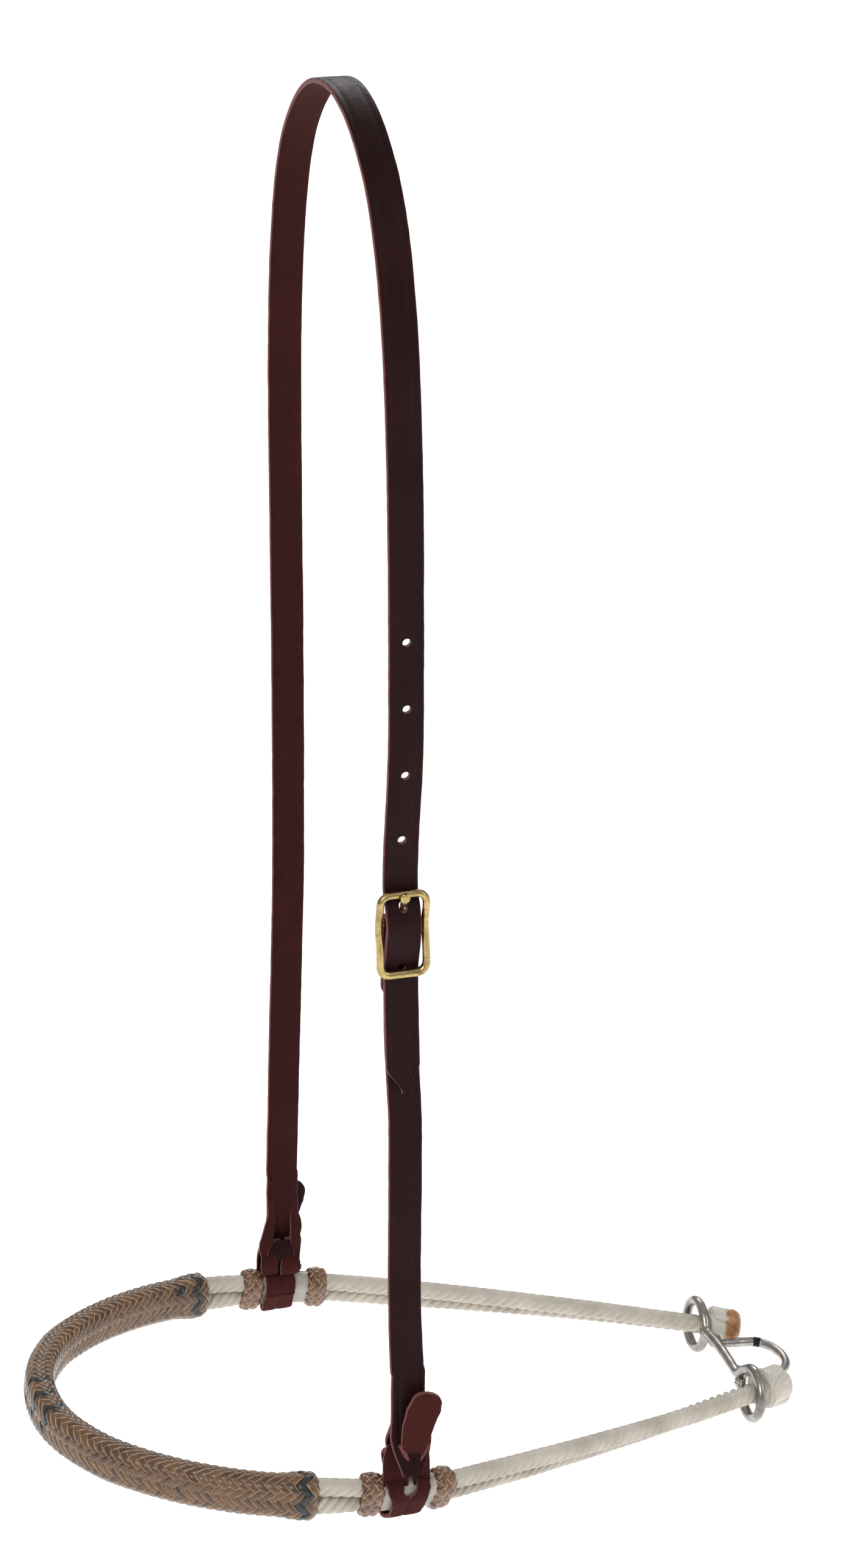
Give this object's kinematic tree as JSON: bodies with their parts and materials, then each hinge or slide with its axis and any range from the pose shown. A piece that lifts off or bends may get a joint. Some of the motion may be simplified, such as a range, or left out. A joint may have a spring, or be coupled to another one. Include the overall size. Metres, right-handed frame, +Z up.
{
  "type": "bitless hackamore",
  "caption": "Western rope noseband on a leather headstall: braided rawhide nose cover, twisted lariat ropes, ring-and-loop tie-down hardware and a buckled cheek strap.",
  "frame": {"origin": "the underside of the crown strap at its top, where it rests on what holds it up", "axes": "+X from the nose end to the ring end, +Y towards the strap leg with no buckle, +Z up"},
  "size_m": [0.3132, 0.185, 0.5355],
  "materials": {
    "leather": "oiled burgundy grain, fuzzy flesh side",
    "rope": "waxy twisted lariat rope",
    "rawhide": "varnished braided rawhide",
    "black_rawhide": "varnished black rawhide strand",
    "ring_rawhide": "varnished flat rawhide strand",
    "sleeve": "smooth translucent grey sleeve",
    "nickel": "polished nickel plate",
    "brass": "polished solid brass",
    "thread": "waxed thread"
  },
  "bodies": {
    "headstall": {"crown_strap": "leather", "cheek_strap": "leather", "turnback_thread": "thread"},
    "buckle": {"buckle_frame": "brass"},
    "tongue": {"buckle_tongue": "brass"},
    "noseband": {"rope_upper": "rope", "rope_lower": "rope", "braid_cover": "rawhide", "inlay_near_end": "black_rawhide", "inlay_nose_near": "black_rawhide", "inlay_nose_middle": "black_rawhide", "inlay_nose_far": "black_rawhide", "inlay_far_end": "black_rawhide", "ring_knot_near_front": "ring_rawhide", "ring_knot_near_rear": "ring_rawhide", "ring_knot_far_front": "ring_rawhide", "ring_knot_far_rear": "ring_rawhide", "wear_sleeve_near": "sleeve", "wear_sleeve_far": "sleeve", "end_knot_near": "rope", "end_knot_far": "rope"},
    "hardware": {"ring_bar_wire": "nickel", "dee_loop": "nickel"}
  },
  "joints": [
    {"name": "noseband_hinge", "type": "hinge", "parent": "headstall", "child": "noseband", "pos_m": [-0.003, 0, -0.506], "axis": [0, 1, 0], "range_deg": [-9, 8]},
    {"name": "hardware_hinge", "type": "hinge", "parent": "noseband", "child": "hardware", "pos_m": [0.15749, 0, -0.52213], "axis": [0, 1, 0], "range_deg": [-6, 6]},
    {"name": "buckle_rock", "type": "hinge", "parent": "headstall", "child": "buckle", "pos_m": [-0.002, -0.0732, -0.2812], "axis": [1, 0, 0], "range_deg": [-2, 2]},
    {"name": "tongue_pivot", "type": "hinge", "parent": "buckle", "child": "tongue", "pos_m": [-0.002, -0.0732, -0.2812], "axis": [1, 0, 0], "range_deg": [0, 5]}
  ]
}
